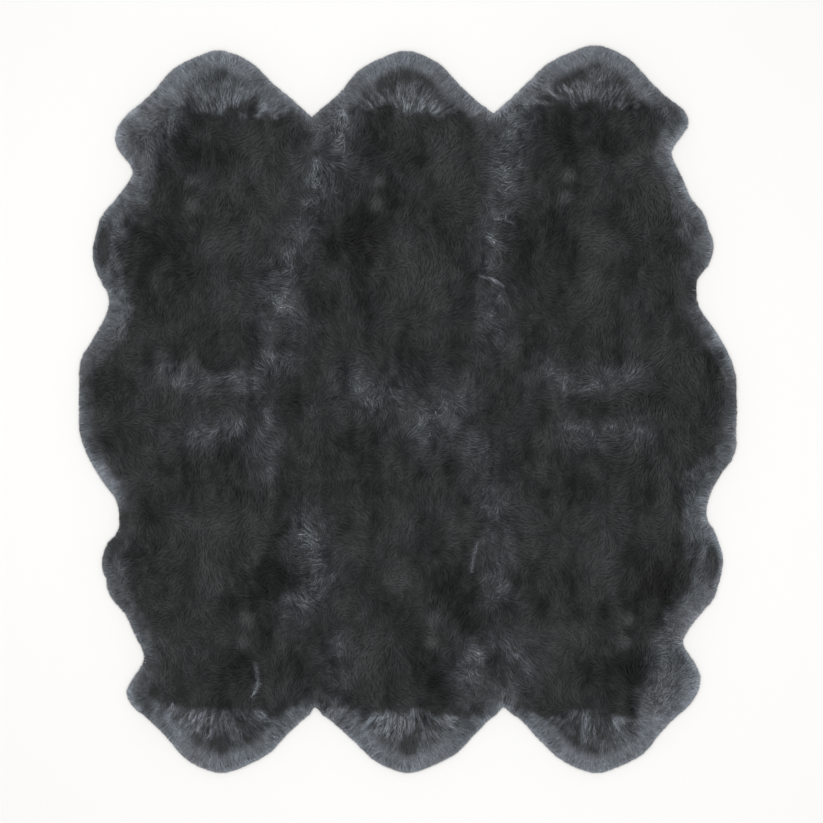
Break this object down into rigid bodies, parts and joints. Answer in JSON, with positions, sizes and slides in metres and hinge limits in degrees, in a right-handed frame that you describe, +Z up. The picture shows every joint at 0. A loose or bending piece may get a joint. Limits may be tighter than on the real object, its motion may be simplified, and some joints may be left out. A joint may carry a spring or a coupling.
{
  "type": "sheepskin rug",
  "caption": "Shaggy rug of whole sheepskins sewn edge to edge in two rows, dark charcoal wool with frosted tips, scalloped natural outline, laid flat on a floor.",
  "frame": {"origin": "on the floor, under the middle of the rug", "axes": "+Z up out of the wool; +Y along the length of the rug, towards the necks of the skins that are not turned; +X across, to the right in the picture"},
  "size_m": [1.654, 1.8286, 0.0573],
  "materials": {
    "wool": "long matte wool, charcoal at the root and frosted blue-grey where the tips lean outward",
    "hide": "matte napped suede, the flesh side of the skins",
    "thread": "waxed seam thread"
  },
  "bodies": {
    "root": {"skin_top_left": "wool", "skin_top_middle": "wool", "skin_top_right": "wool", "skin_bottom_left": "wool", "skin_bottom_middle": "wool", "skin_bottom_right": "wool"}
  },
  "joints": []
}
